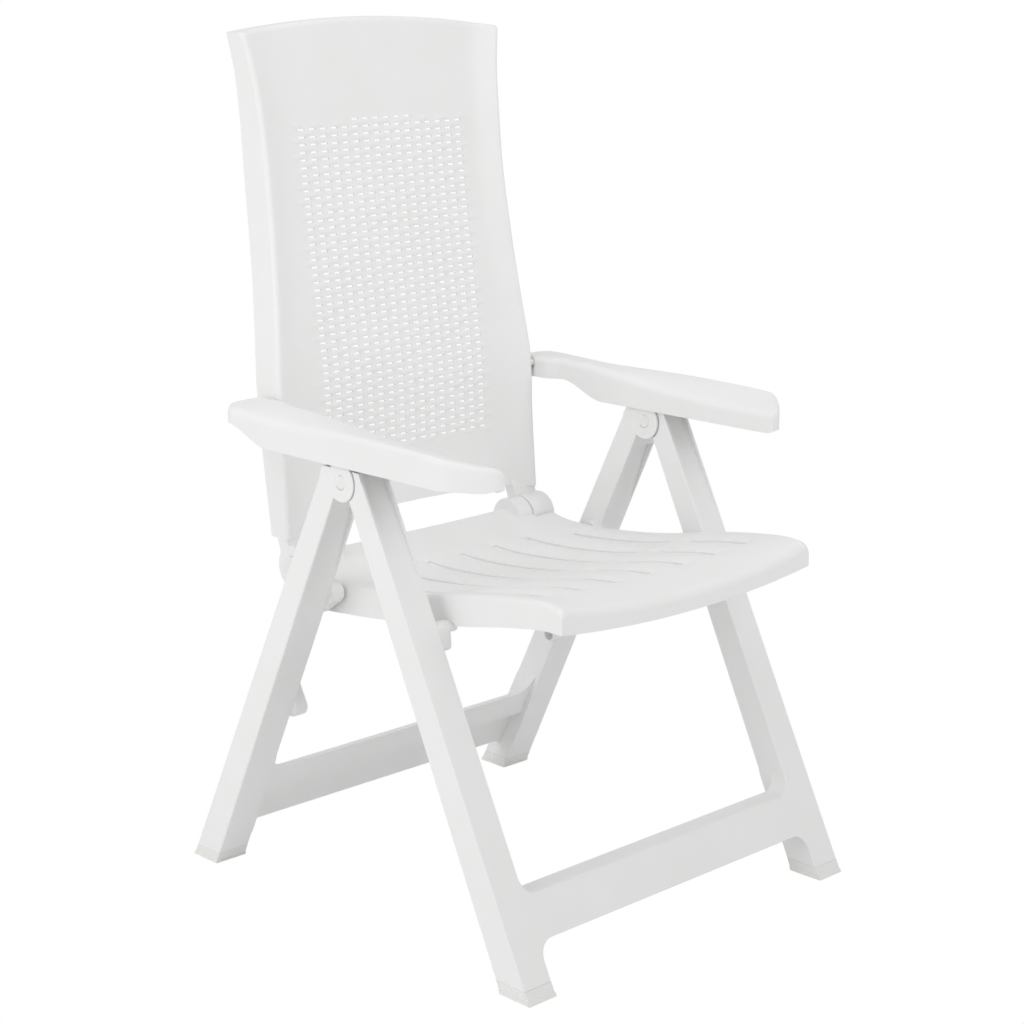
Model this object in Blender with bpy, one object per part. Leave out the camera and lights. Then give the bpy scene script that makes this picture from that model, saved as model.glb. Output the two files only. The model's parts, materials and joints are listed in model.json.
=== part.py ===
"""White plastic folding armchair with a reclining back, as an assembly of moulded pieces.

Units are metres.  +Z is up, the sitter faces -Y and the sitter's left is +X.  The origin lies
on the floor under the middle of the open chair.  Every side outline is drawn in the YZ plane.
"""
import math

import bmesh
import bpy
import numpy as np
from mathutils import Matrix, Vector

# ---------------------------------------------------------------- driving dimensions
GAP = 0.0003                    # smallest gap kept between two pieces
WELD = 0.000004                 # points closer than this are one point

LEG_PIVOT = (0.000, 0.570)      # every pivot is a (y, z) pair
CATCH = (0.000, 0.6065)
SEAT_PIVOT = (0.0855, 0.4040)
BACK_HINGE = (0.180, 0.417)
ARM_PIVOT = (0.2035, 0.627)
SEAT_REST = (-0.118, 0.4015)

FOOT_OUT = 0.3242               # legs are symmetric about y = 0: outer edge at the floor
FOOT_IN = 0.2750                # inner edge at the floor
LEAN_OUT = 0.4975               # how far the outer edge comes in for each metre of height
LEAN_IN = 0.4765
LEG_TOP = 0.5860
CROWN_GAP = 0.0020              # half of the gap between the leg tops
FRONT_X = (0.2455, 0.2900)      # the front leg across the chair
REAR_X = (0.2430, 0.2910)
LEG_WALL = 0.0040
TONGUE_X = (0.2545, 0.2795)     # the front leg's middle layer, held by the rear leg's fork
FORK_X = (0.2541, 0.2799)
HUB_R = 0.0245
HUB_CLEAR_R = 0.0265
TONGUE_R = 0.0215
FORK_SLOT_R = 0.0240
BAR_SET_BACK = 0.0005           # how far the crossbars lie behind the legs' faces
BAR_WALL = 0.0036
FRONT_BAR_Z = (0.058, 0.108)    # bottom and top of the front crossbar
FRONT_BAR_DEPTH = 0.026
FRONT_FILLET = 0.021
REAR_BAR_Z = (0.066, 0.104, 0.142)      # bottom, step and top of the rear crossbar
REAR_BAR_STEP = 0.012
REAR_BAR_DEPTH = 0.030
REAR_FILLET = 0.030
FILLET_DEPTH = 0.012
RIB = 0.0035                    # cross ribs inside the legs, and the heights of their feet
FRONT_RIB_LEVELS = (0.030, 0.165, 0.235, 0.305, 0.375, 0.445, 0.500)
REAR_RIB_LEVELS = (0.030, 0.165, 0.235, 0.305, 0.375, 0.445)
SCOOP_DEPTH = 0.0085            # the hollow in a leg's front face at its upper end
SCOOP_MARGIN = 0.0045
FRONT_SCOOP_Z = (0.470, 0.600)
REAR_SCOOP_Z = (0.440, 0.530)
BOSS_FACE_X = 0.2262            # inner face of the bosses on the legs
SIDE_X = (0.2000, 0.3200)       # clears everything on one side of the chair
CAP_H = 0.0163                  # foot cap
SPIGOT_BASE = 0.0045
SPIGOT_INSET = 0.0031

PIN_R = 0.0055
HEAD_R = 0.0085
HEAD_H = 0.0022
HINGE_PIN_R = 0.0120             # the barrel that joins the back to the seat
HINGE_HEAD_R = 0.0150
ARM_PIN_R = 0.0040
COLLAR_R = 0.0150               # spacer between the back and the armrest
COLLAR_X = (0.2262, 0.2375)
BUSH_R = 0.0100
BUSH_X = (0.2385, 0.2885)

SEAT_HALF = 0.2222
SEAT_FRONT = -0.3070
SEAT_REAR = 0.1855
SKIN = 0.0035                   # wall of the moulded seat and back
# seat rows from front to rear: y, height on the middle line, height at the side, flange bottom
SEAT_ROWS = (
    (-0.3070, 0.4430, 0.4620, 0.4305),
    (-0.2750, 0.4500, 0.4650, 0.4300),
    (-0.2250, 0.4515, 0.4600, 0.4225),
    (-0.1450, 0.4380, 0.4475, 0.4070),
    (-0.0750, 0.4245, 0.4325, 0.3940),
    (0.0000, 0.4155, 0.4220, 0.3845),
    (0.0750, 0.4120, 0.4165, 0.3765),
    (0.1300, 0.4160, 0.4185, 0.3740),
    (0.1855, 0.4300, 0.4330, 0.3900),
)
SLOT_PITCH = 0.060
SLOT_W = 0.0080
SLOT_SPANS = ((-0.235, -0.140), (-0.110, 0.102))
SHORT_SLOT_END = 0.070          # the outermost slots stop before the pivot pads
FRONT_BOW = 0.0040              # how far the front edge bulges in the middle
FRONT_SKIRT_DROP = 0.0125       # how much deeper the front skirt is in the middle
REAR_SKIRT_LIFT = 0.0120

EAR_X = (0.1580, 0.1838)        # the seat's hinge ears
LUG_X = (0.1845, 0.2245)        # the back's hinge lugs
DRUM_R = 0.0290

BACK_BOTTOM = 0.4520
BACK_TOP = 1.0900
# back rows from bottom to top: height, half width, front edge, depth of the side flange
BACK_ROWS = (
    (0.452, 0.2257, 0.1850, 0.0350),
    (0.560, 0.2252, 0.1925, 0.0430),
    (0.640, 0.2256, 0.1965, 0.0470),
    (0.720, 0.2180, 0.2072, 0.0478),
    (0.800, 0.2113, 0.2185, 0.0482),
    (0.900, 0.2068, 0.2325, 0.0490),
    (0.980, 0.2078, 0.2417, 0.0450),
    (1.040, 0.2125, 0.2505, 0.0385),
    (1.090, 0.2217, 0.2585, 0.0330),
)
BACK_ARCH = 0.0160              # how much higher the top is in the middle
BACK_LOWER_ARCH = 0.0140
BOLSTER = 0.0130                # how far the panel lies behind the side edges
BOLSTER_W = 0.0800

ARM_X = (0.2380, 0.2980)
ARM_WALL = 0.0032
ARM_BOTTOM = 0.5885
ARM_NECK_BOTTOM = 0.6100
ARM_FRONT = -0.2295
ARM_TIP = 0.2140
ARM_CORNER = (0.0360, 0.0450)   # the round outer front corner, across and along the armrest
RACK_X = ((0.2500, 0.2560), (0.2785, 0.2845))
LUG_CATCH_X = (0.2600, 0.2740)
CATCH_PIN_R = 0.0040
NOTCH_COUNT = 5
NOTCH_TRAVEL = 0.1020           # from the upright notch to the most reclined one


# ---------------------------------------------------------------- small tools
def clear_scene():
    for item in list(bpy.data.objects):
        bpy.data.objects.remove(item, do_unlink=True)


def link(name, mesh):
    item = bpy.data.objects.new(name, mesh)
    bpy.context.collection.objects.link(item)
    return item


def finish_mesh(bm, name):
    bmesh.ops.recalc_face_normals(bm, faces=bm.faces)
    mesh = bpy.data.meshes.new(name)
    bm.to_mesh(mesh)
    bm.free()
    return mesh


def rounded(corners, steps=4):
    """Corner list (y, z, radius) as an outline whose corners are arcs."""
    points = []
    count = len(corners)
    for i, (y, z, radius) in enumerate(corners):
        here = Vector((y, z))
        if radius == 0:
            points.append(here)
            continue
        before = (Vector(corners[i - 1][:2]) - here).normalized()
        after = (Vector(corners[(i + 1) % count][:2]) - here).normalized()
        half = before.angle(after) / 2
        reach = radius / math.tan(half)
        centre = here + (before + after).normalized() * radius / math.sin(half)
        start = here + before * reach - centre
        end = here + after * reach - centre
        for k in range(steps + 1):
            way = start.lerp(end, k / steps).normalized() * radius
            points.append(centre + way)
    return [tuple(p) for p in points]


def circle(centre, radius, steps=24):
    turn = 2 * math.pi / steps
    return [(centre[0] + radius * math.cos(turn * k), centre[1] + radius * math.sin(turn * k))
            for k in range(steps)]


def prism(name, outline, x_from, x_to):
    """A YZ outline extruded across the chair."""
    bm = bmesh.new()
    rim = [bm.verts.new((x_from, y, z)) for y, z in outline]
    face = bm.faces.new(rim)
    grown = bmesh.ops.extrude_face_region(bm, geom=[face])["geom"]
    moved = [g for g in grown if isinstance(g, bmesh.types.BMVert)]
    bmesh.ops.translate(bm, verts=moved, vec=(x_to - x_from, 0, 0))
    return link(name, finish_mesh(bm, name))


def plan_prism(name, outline, z_from, z_to):
    """An XY outline extruded upward."""
    bm = bmesh.new()
    face = bm.faces.new([bm.verts.new((x, y, z_from)) for x, y in outline])
    grown = bmesh.ops.extrude_face_region(bm, geom=[face])["geom"]
    moved = [g for g in grown if isinstance(g, bmesh.types.BMVert)]
    bmesh.ops.translate(bm, verts=moved, vec=(0, 0, z_to - z_from))
    return link(name, finish_mesh(bm, name))


def disc(name, centre, radius, x_from, x_to, steps=24):
    return prism(name, circle(centre, radius, steps), x_from, x_to)


def block(name, x_span, y_span, z_span):
    outline = [(y_span[0], z_span[0]), (y_span[1], z_span[0]),
               (y_span[1], z_span[1]), (y_span[0], z_span[1])]
    return prism(name, outline, *x_span)


def bake(item):
    """Turn an object's evaluated shape into its plain mesh."""
    graph = bpy.context.evaluated_depsgraph_get()
    graph.update()
    mesh = bpy.data.meshes.new_from_object(item.evaluated_get(graph))
    item.modifiers.clear()
    item.data = mesh
    return item


def combine(target, others, operation):
    for other in others:
        step = target.modifiers.new(operation, "BOOLEAN")
        step.operation = operation
        step.solver = "EXACT"
        step.object = other
        bake(target)
        weld(target)
        bpy.data.objects.remove(other, do_unlink=True)
    return target


def weld(item):
    """Join the corner points that a Boolean leaves within a few thousandths of a millimetre."""
    bm = bmesh.new()
    bm.from_mesh(item.data)
    bmesh.ops.remove_doubles(bm, verts=bm.verts, dist=WELD)
    bmesh.ops.dissolve_degenerate(bm, edges=bm.edges, dist=WELD)
    bm.to_mesh(item.data)
    bm.free()


def add(target, *others):
    return combine(target, others, "UNION")


def cut(target, *others):
    return combine(target, others, "DIFFERENCE")


def mirrored(item, name):
    """A copy of a left-hand piece for the right-hand side."""
    copy = link(name, item.data.copy())
    copy.data.transform(Matrix.Scale(-1, 4, Vector((1, 0, 0))))
    copy.data.flip_normals()
    return copy


def both_sides(item):
    """Join a left-hand shape and its mirror image into one two-part cutter or addition."""
    other = mirrored(item, item.name + "_m")
    bm = bmesh.new()
    bm.from_mesh(item.data)
    bm.from_mesh(other.data)
    bm.to_mesh(item.data)
    bm.free()
    bpy.data.objects.remove(other, do_unlink=True)
    return item


def along(rows, column, at):
    """Smooth value of one column of a row table at a place along its first column."""
    key = [row[0] for row in rows]
    value = [row[column] for row in rows]
    slope = np.gradient(value, key)
    i = int(np.clip(np.searchsorted(key, at) - 1, 0, len(key) - 2))
    width = key[i + 1] - key[i]
    t = (at - key[i]) / width
    a = (1 + 2 * t) * (1 - t) ** 2 * value[i] + t * (1 - t) ** 2 * width * slope[i]
    b = t * t * (3 - 2 * t) * value[i + 1] + t * t * (t - 1) * width * slope[i + 1]
    return float(a + b)


def ribbon(path, thickness):
    """A folded sheet's section: the path and its parallel, `thickness` to the left of it."""
    pts = [Vector(p) for p in path]
    side = []
    for i, point in enumerate(pts):
        ahead = (pts[min(i + 1, len(pts) - 1)] - point)
        behind = (point - pts[max(i - 1, 0)])
        ahead = ahead.normalized() if ahead.length else behind.normalized()
        behind = behind.normalized() if behind.length else ahead
        normal = (ahead + behind).normalized()
        normal = Vector((-normal.y, normal.x))
        stretch = thickness / max(0.3, normal.dot(Vector((-ahead.y, ahead.x))))
        side.append(point + normal * stretch)
    return [tuple(p) for p in pts] + [tuple(p) for p in reversed(side)]


# ---------------------------------------------------------------- materials
def plastic(name, colour, roughness):
    material = bpy.data.materials.new(name)
    material.use_nodes = True
    shader = material.node_tree.nodes["Principled BSDF"]
    shader.inputs["Base Color"].default_value = (*colour, 1)
    shader.inputs["Roughness"].default_value = roughness
    shader.inputs["Metallic"].default_value = 0.0
    return material


def dress(item, colour=(0.86, 0.86, 0.85), roughness=0.45):
    item.data.materials.clear()
    item.data.materials.append(plastic(item.name + "_polypropylene", colour, roughness))
    item.data.shade_smooth()
    item.data.set_sharp_from_angle(angle=math.radians(32))


def set_origin(item, pivot):
    """Put the object's origin on its joint's axis without moving its shape."""
    place = Vector((0, pivot[0], pivot[1]))
    item.data.transform(Matrix.Translation(-place))
    item.location = place


# ---------------------------------------------------------------- legs
def outer_edge(z):
    return FOOT_OUT - LEAN_OUT * z


def inner_edge(z):
    return FOOT_IN - LEAN_IN * z


def leg_outline(sign, inset=0.0, bottom=0.0, top=LEG_TOP):
    """One leg seen from the side; sign -1 is the front leg, +1 the rear leg."""
    crown = (FOOT_IN - CROWN_GAP) / LEAN_IN
    outline = [(outer_edge(bottom) - inset, bottom), (outer_edge(top) - inset, top)]
    if top > crown:
        outline += [(CROWN_GAP, top), (CROWN_GAP, crown)]
    else:
        outline += [(inner_edge(top) + inset, top)]
    outline += [(inner_edge(bottom) + inset, bottom)]
    return [(sign * y, z) for y, z in outline]


def leg_pockets(sign, x_span):
    """Hollows between the cross ribs, open on the edge that faces away from the sitter."""
    levels = FRONT_RIB_LEVELS if sign < 0 else REAR_RIB_LEVELS
    shapes = []
    for low, high in zip(levels[:-1], levels[1:]):
        z0 = low + RIB
        if sign < 0:        # front leg: closed in front, open behind
            outline = [(-outer_edge(z0) + LEG_WALL, z0), (-outer_edge(high) + LEG_WALL, high),
                       (-inner_edge(high) + 0.02, high), (-inner_edge(z0) + 0.02, z0)]
        else:               # rear leg: closed in front, open behind
            outline = [(inner_edge(z0) + LEG_WALL, z0), (inner_edge(high) + LEG_WALL, high),
                       (outer_edge(high) + 0.02, high), (outer_edge(z0) + 0.02, z0)]
        shapes.append(prism("pocket", outline, x_span[0] + LEG_WALL, x_span[1] - LEG_WALL))
    return shapes


def spigot_trim(sign, x_span):
    """What is taken off the leg's lower end so that it plugs into its foot cap."""
    ring = block("trim", (x_span[0] - 0.01, x_span[1] + 0.01),
                 sorted((sign * 0.22, sign * 0.36)), (-0.01, CAP_H))
    core = prism("core", leg_outline(sign, SPIGOT_INSET, SPIGOT_BASE, 0.03),
                 x_span[0] + SPIGOT_INSET, x_span[1] - SPIGOT_INSET)
    return cut(ring, core)


def scoop(sign, x_span):
    """The shallow hollow in a leg's front face that deepens toward the armrest."""
    face = (lambda z: -outer_edge(z)) if sign < 0 else inner_edge
    low, high = FRONT_SCOOP_Z if sign < 0 else REAR_SCOOP_Z
    outline = [(face(low), low), (face(high) + SCOOP_DEPTH, high), (face(high) - 0.02, high),
               (face(low) - 0.02, low)]
    return prism("scoop", outline, x_span[0] + SCOOP_MARGIN, x_span[1] - SCOOP_MARGIN)


def boss(centre, radius, x_span, toward=None, reach_radius=0.0):
    """A round boss on a leg's inner face, blended toward a second smaller circle."""
    item = disc("boss", centre, radius, *x_span)
    if toward:
        add(item, disc("boss2", toward, reach_radius, *x_span))
        start, end = Vector(centre), Vector(toward)
        side = Vector((-(end - start).y, (end - start).x)).normalized()
        outline = [tuple(start + side * radius), tuple(start - side * radius),
                   tuple(end - side * reach_radius), tuple(end + side * reach_radius)]
        add(item, prism("web", outline, *x_span))
    return item


def front_leg():
    leg = prism("front_leg", leg_outline(-1), *FRONT_X)
    for span in ((FRONT_X[0] - 0.01, TONGUE_X[0]), (TONGUE_X[1], FRONT_X[1] + 0.01)):
        cut(leg, disc("clear", LEG_PIVOT, HUB_CLEAR_R, *span, steps=32))
    cut(leg, *leg_pockets(-1, FRONT_X))
    cut(leg, scoop(-1, FRONT_X))
    add(leg, disc("tongue", LEG_PIVOT, TONGUE_R, *TONGUE_X, steps=32))
    post = rounded([(-0.0085, LEG_PIVOT[1], 0), (0.0085, LEG_PIVOT[1], 0),
                    (0.0085, CATCH[1] + 0.0085, 0.0080), (-0.0085, CATCH[1] + 0.0085, 0.0080)])
    add(leg, prism("post", post, *LUG_CATCH_X))
    rest = boss((-0.1165, 0.4005), 0.0125, (BOSS_FACE_X, FRONT_X[0] + 0.002), (-0.1255, 0.3815), 0.0095)
    add(leg, rest)
    add(leg, disc("rest_pin", SEAT_REST, 0.0062, 0.2150, 0.2290, steps=16))
    cut(leg, disc("bore", LEG_PIVOT, PIN_R + GAP, *SIDE_X))
    cut(leg, disc("bore", CATCH, CATCH_PIN_R + GAP, *SIDE_X, steps=16))
    cut(leg, spigot_trim(-1, FRONT_X))
    return leg


def rear_leg():
    leg = prism("rear_leg", leg_outline(1), *REAR_X)
    cut(leg, *leg_pockets(1, REAR_X))
    cut(leg, scoop(1, REAR_X))
    cut(leg, disc("slot", LEG_PIVOT, FORK_SLOT_R, *FORK_X, steps=32))
    for span in ((REAR_X[0], FORK_X[0]), (FORK_X[1], REAR_X[1])):
        add(leg, disc("cheek", LEG_PIVOT, HUB_R, *span, steps=32))
    lug = boss((0.0830, 0.4100), 0.0185, (BOSS_FACE_X, REAR_X[0] + 0.002), (0.112, 0.385), 0.016)
    add(leg, lug)
    low = boss((0.1620, 0.2400), 0.0150, (BOSS_FACE_X, REAR_X[0] + 0.002), (0.176, 0.262), 0.010)
    add(leg, low)
    cut(leg, disc("socket", (0.1600, 0.2385), 0.0085, 0.2200, 0.2360))
    cut(leg, disc("bore", LEG_PIVOT, PIN_R + GAP, *SIDE_X))
    for span in ((SIDE_X[0], REAR_X[0] + HEAD_H), (REAR_X[1] - HEAD_H, SIDE_X[1])):
        cut(leg, disc("counterbore", LEG_PIVOT, HEAD_R + GAP, *span))
    cut(leg, disc("bore", SEAT_PIVOT, PIN_R + GAP, 0.2, 0.2420))
    cut(leg, spigot_trim(1, REAR_X))
    return leg


def gusset(corner, x_way, u_way, up, normal, radius, depth):
    """A concave fillet between a leg and its crossbar, drawn in the leg's own plane."""
    bm = bmesh.new()
    points = [Vector((0, 0)), Vector((radius, 0))]
    for k in range(1, 5):
        angle = math.radians(90 * k / 5)
        points.append(Vector((radius - radius * math.sin(angle), radius - radius * math.cos(angle))))
    points.append(Vector((0, radius)))
    rim = []
    for p in points:
        at = corner + Vector((x_way * p.x, 0, 0)) + up * (u_way * p.y)
        rim.append(bm.verts.new(at))
    face = bm.faces.new(rim)
    grown = bmesh.ops.extrude_face_region(bm, geom=[face])["geom"]
    moved = [g for g in grown if isinstance(g, bmesh.types.BMVert)]
    bmesh.ops.translate(bm, verts=moved, vec=normal * depth)
    bmesh.ops.translate(bm, verts=bm.verts, vec=normal * BAR_SET_BACK)
    return link("gusset", finish_mesh(bm, "gusset"))


def crossbar(section, half):
    return prism("crossbar", section, -half, half)


def front_frame():
    leg = front_leg()
    other = mirrored(leg, "front_leg_right")
    lean = math.atan(LEAN_OUT)
    up = Vector((0, math.sin(lean), math.cos(lean)))
    into = Vector((0, math.cos(lean), -math.sin(lean)))
    low, high = (Vector((0, -outer_edge(z), z)) + into * BAR_SET_BACK for z in FRONT_BAR_Z)
    path = [low + into * FRONT_BAR_DEPTH, low, high, high + into * FRONT_BAR_DEPTH]
    section = ribbon([(p.y, p.z) for p in path], -BAR_WALL)
    bar = crossbar(section, FRONT_X[0] + 0.001)
    frame = add(leg, other, bar)
    for side in (1, -1):
        for base, way in ((low, -1), (high, 1)):
            corner = Vector((side * (FRONT_X[0] + 0.0005), base.y, base.z))
            corner -= up * (way * 0.0008)
            add(frame, gusset(corner, -side, way, up, into, FRONT_FILLET, FILLET_DEPTH))
    frame.name = "front_leg_frame"
    dress(frame)
    return frame


def rear_frame():
    leg = rear_leg()
    other = mirrored(leg, "rear_leg_right")
    lean = math.atan(LEAN_IN)
    up = Vector((0, -math.sin(lean), math.cos(lean)))
    into = Vector((0, math.cos(lean), math.sin(lean)))
    low, mid, high = (Vector((0, inner_edge(z), z)) + into * BAR_SET_BACK for z in REAR_BAR_Z)
    step = into * REAR_BAR_STEP
    depth = into * REAR_BAR_DEPTH
    path = [low + depth, low + step, mid + step, mid, high, high + depth]
    section = ribbon([(p.y, p.z) for p in path], -BAR_WALL)
    bar = crossbar(section, REAR_X[0] + 0.001)
    frame = add(leg, other, bar)
    for side in (1, -1):
        corner = Vector((side * (REAR_X[0] + 0.0005), high.y, high.z)) - up * 0.0008
        add(frame, gusset(corner, -side, 1, up, into, REAR_FILLET, FILLET_DEPTH))
        corner = Vector((side * (REAR_X[0] + 0.0005), low.y, low.z)) + up * 0.0008 + step
        add(frame, gusset(corner, -side, -1, up, into, REAR_FILLET, FILLET_DEPTH))
    frame.name = "rear_leg_frame"
    set_origin(frame, LEG_PIVOT)
    dress(frame)
    return frame


def foot_cap(name, sign, x_span):
    proud = 0.0006
    outer = leg_outline(sign, -proud, 0.0, CAP_H - GAP)
    cap = prism(name, outer, x_span[0] - proud, x_span[1] + proud)
    inset = SPIGOT_INSET - GAP
    socket = prism("socket", leg_outline(sign, inset, SPIGOT_BASE - GAP, CAP_H + 0.01),
                   x_span[0] + inset, x_span[1] - inset)
    cut(cap, socket)
    dress(cap)
    return cap


# ---------------------------------------------------------------- pins
def rivet(name, centre, radius, x_span, rings=()):
    """A pin across the chair, with rings (radius, x from, x to) for its heads and collars."""
    pin = disc(name, centre, radius, *x_span, steps=20)
    for ring_radius, x_from, x_to in rings:
        add(pin, disc("ring", centre, ring_radius, x_from, x_to, steps=24))
    dress(pin, (0.84, 0.84, 0.83), 0.40)
    return pin


# ---------------------------------------------------------------- seat
def seat_height(x, y):
    middle = along(SEAT_ROWS, 1, y)
    side = along(SEAT_ROWS, 2, y)
    return middle + (side - middle) * abs(x / SEAT_HALF) ** 2.4


def seat():
    bm = bmesh.new()
    across, lengthwise = 10, 16
    bmesh.ops.create_grid(bm, x_segments=across, y_segments=lengthwise, size=1)
    for v in bm.verts:
        x = v.co.x * SEAT_HALF
        y = SEAT_FRONT + (v.co.y + 1) / 2 * (SEAT_REAR - SEAT_FRONT)
        bow = FRONT_BOW * (1 - (x / SEAT_HALF) ** 2) if v.co.y < -0.999 else 0
        v.co = (x, y - bow, seat_height(x, y))
    rim = [e for e in bm.edges if e.is_boundary]
    grown = bmesh.ops.extrude_edge_only(bm, edges=rim)["geom"]
    for v in [g for g in grown if isinstance(g, bmesh.types.BMVert)]:
        base = along(SEAT_ROWS, 3, max(v.co.y, SEAT_FRONT))
        if v.co.y < SEAT_FRONT + 0.001:
            base -= FRONT_SKIRT_DROP * (1 - (v.co.x / SEAT_HALF) ** 2)
        if v.co.y > SEAT_REAR - 0.001:
            base += REAR_SKIRT_LIFT * (1 - (v.co.x / SEAT_HALF) ** 2)
        v.co.z = base
    shell = link("seat", finish_mesh(bm, "seat"))
    top = max(shell.data.polygons, key=lambda p: abs(p.normal.z) * p.area)
    if top.normal.z < 0:
        shell.data.flip_normals()
    wall = shell.modifiers.new("wall", "SOLIDIFY")
    wall.thickness = SKIN
    wall.offset = -1
    wall.use_even_offset = True
    bake(shell)
    notch = rounded([(0.1470, 0.36, 0), (0.1470, 0.45, 0), (0.24, 0.45, 0), (0.24, 0.36, 0)])
    cut(shell, both_sides(prism("corner", notch, LUG_X[0] - 0.0004, 0.24)))
    cut(shell, both_sides(disc("drum", BACK_HINGE, DRUM_R + 0.0020, LUG_X[0] - 0.0004, 0.24)))
    for side in (1, -1):
        add(shell, seat_ear(side))
        add(shell, seat_boss(side))
    for lane in range(-3, 4):
        for y0, y1 in SLOT_SPANS:
            if abs(lane) == 3:
                y1 = min(y1, SHORT_SLOT_END)
            cut(shell, slot(lane * SLOT_PITCH, y0, y1))
    relief = rounded([(-0.1275, 0.40, 0), (-0.1275, 0.4080, 0.006), (-0.1085, 0.4080, 0.006),
                      (-0.0850, 0.385, 0), (-0.1150, 0.385, 0)])
    cut(shell, both_sides(prism("relief", relief, 0.2100, 0.2400)))
    cut(shell, both_sides(disc("bore", SEAT_PIVOT, PIN_R + GAP, 0.2000, 0.2400)))
    cut(shell, both_sides(disc("bore", BACK_HINGE, HINGE_PIN_R + GAP, 0.1600, 0.1900)))
    set_origin(shell, SEAT_PIVOT)
    dress(shell)
    return shell


def slot(x, y0, y1):
    half = SLOT_W / 2
    outline = [(x - half, y0 + half), (x, y0), (x + half, y0 + half),
               (x + half, y1 - half), (x, y1), (x - half, y1 - half)]
    return plan_prism("slot", outline, 0.38, 0.48)


def seat_ear(side):
    span = sorted((side * EAR_X[0], side * EAR_X[1]))
    ear = disc("ear", BACK_HINGE, DRUM_R - 0.001, *span)
    web = [(0.120, 0.395), (0.180, 0.389), (0.180, 0.420), (0.120, 0.4145)]
    return add(ear, prism("ear_web", web, *span))


def seat_boss(side):
    """Thick pad inside the side flange that carries the seat's pivot pin."""
    span = sorted((side * 0.2060, side * (SEAT_HALF - 0.001)))
    y, z = SEAT_PIVOT
    outline = rounded([(y - 0.016, z - 0.020, 0.006), (y + 0.016, z - 0.020, 0.006),
                       (y + 0.016, z + 0.0100, 0), (y - 0.016, z + 0.0100, 0)])
    return prism("seat_boss", outline, *span)


# ---------------------------------------------------------------- back
def back_front(x, z):
    """How far back the sitter's side of the back lies at a place on it."""
    half = along(BACK_ROWS, 1, z)
    edge = along(BACK_ROWS, 2, z)
    inward = min(1.0, (half - abs(x)) / BOLSTER_W)
    return edge + BOLSTER * inward * inward * (3 - 2 * inward)


def back():
    bm = bmesh.new()
    across, upward = 14, 16
    bmesh.ops.create_grid(bm, x_segments=across, y_segments=upward, size=1)
    for v in bm.verts:
        t = (v.co.y + 1) / 2
        z = BACK_BOTTOM + t * (BACK_TOP - BACK_BOTTOM)
        x = v.co.x * along(BACK_ROWS, 1, z)
        arch = (1 - v.co.x ** 2) * (BACK_ARCH * t ** 6 + BACK_LOWER_ARCH * (1 - t) ** 6)
        v.co = (x, back_front(x, z), z + arch)
    rim = [e for e in bm.edges if e.is_boundary]
    grown = bmesh.ops.extrude_edge_only(bm, edges=rim)["geom"]
    for v in [g for g in grown if isinstance(g, bmesh.types.BMVert)]:
        z = min(v.co.z, BACK_TOP)
        depth = along(BACK_ROWS, 3, z)
        if z < BACK_BOTTOM + 0.02 and abs(v.co.x) < 0.21:
            depth = 0.012 + BOLSTER
        v.co.y = along(BACK_ROWS, 2, z) + depth
    shell = link("backrest", finish_mesh(bm, "backrest"))
    front = max(shell.data.polygons, key=lambda p: abs(p.normal.y) * p.area)
    if front.normal.y > 0:
        shell.data.flip_normals()
    wall = shell.modifiers.new("wall", "SOLIDIFY")
    wall.thickness = SKIN
    wall.offset = -1
    wall.use_even_offset = True
    bake(shell)
    for side in (1, -1):
        add(shell, back_lug(side))
        add(shell, back_boss(side))
    cut(shell, both_sides(disc("bore", BACK_HINGE, HINGE_PIN_R + GAP, 0.17, 0.24)))
    cut(shell, both_sides(disc("bore", ARM_PIVOT, ARM_PIN_R + GAP, 0.19, 0.24)))
    set_origin(shell, BACK_HINGE)
    dress(shell)
    return shell


def back_lug(side):
    span = sorted((side * LUG_X[0], side * LUG_X[1]))
    lug = disc("lug", BACK_HINGE, DRUM_R, *span)
    y, z = BACK_HINGE
    neck = [(y + 0.0020, z), (y + 0.0260, z + 0.002), (y + 0.0255, z + 0.020), (y + 0.0330, 0.4560),
            (y + 0.0360, 0.4800), (y + 0.0095, 0.4800), (y + 0.0045, 0.4500)]
    return add(lug, prism("neck", neck, *span))


def back_boss(side):
    span = sorted((side * 0.2085, side * 0.2240))
    return disc("back_boss", ARM_PIVOT, 0.0066, *span)


# ---------------------------------------------------------------- armrests
def arm_outline(inset=0.0, bottom_open=False):
    low = ARM_BOTTOM - (0.02 if bottom_open else 0)
    neck = ARM_NECK_BOTTOM - (0.02 if bottom_open else 0)
    tail = ARM_TIP - (0.084 if bottom_open else 0)
    corners = [(ARM_FRONT + inset, low, 0.0 if bottom_open else 0.010),
               (0.085, low, 0.030 if not bottom_open else 0.0)]
    if not bottom_open:
        corners += [(0.140, neck, 0.030), (tail, neck, 0.011)]
    else:
        corners += [(tail, low, 0.0)]
    corners += [(tail, 0.6395 - inset, 0.011 if not bottom_open else 0.004),
                (0.080 if not bottom_open else 0.060, 0.6355 - inset, 0.0),
                (-0.130, 0.6340 - inset, 0.060),
                (ARM_FRONT + inset, 0.6170 - inset, 0.018 - inset)]
    return rounded(corners)


def soften_top(item):
    """Round the long upper edges of an armrest."""
    bm = bmesh.new()
    bm.from_mesh(item.data)
    edges = [e for e in bm.edges
             if all(v.co.z > 0.600 for v in e.verts)
             and len(e.link_faces) == 2
             and any(abs(f.normal.x) > 0.9 for f in e.link_faces)
             and max(f.normal.z for f in e.link_faces) > 0.3]
    bmesh.ops.bevel(bm, geom=edges, offset=0.013, segments=4, profile=0.5, affect="EDGES")
    bm.to_mesh(item.data)
    bm.free()
    return item


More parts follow.
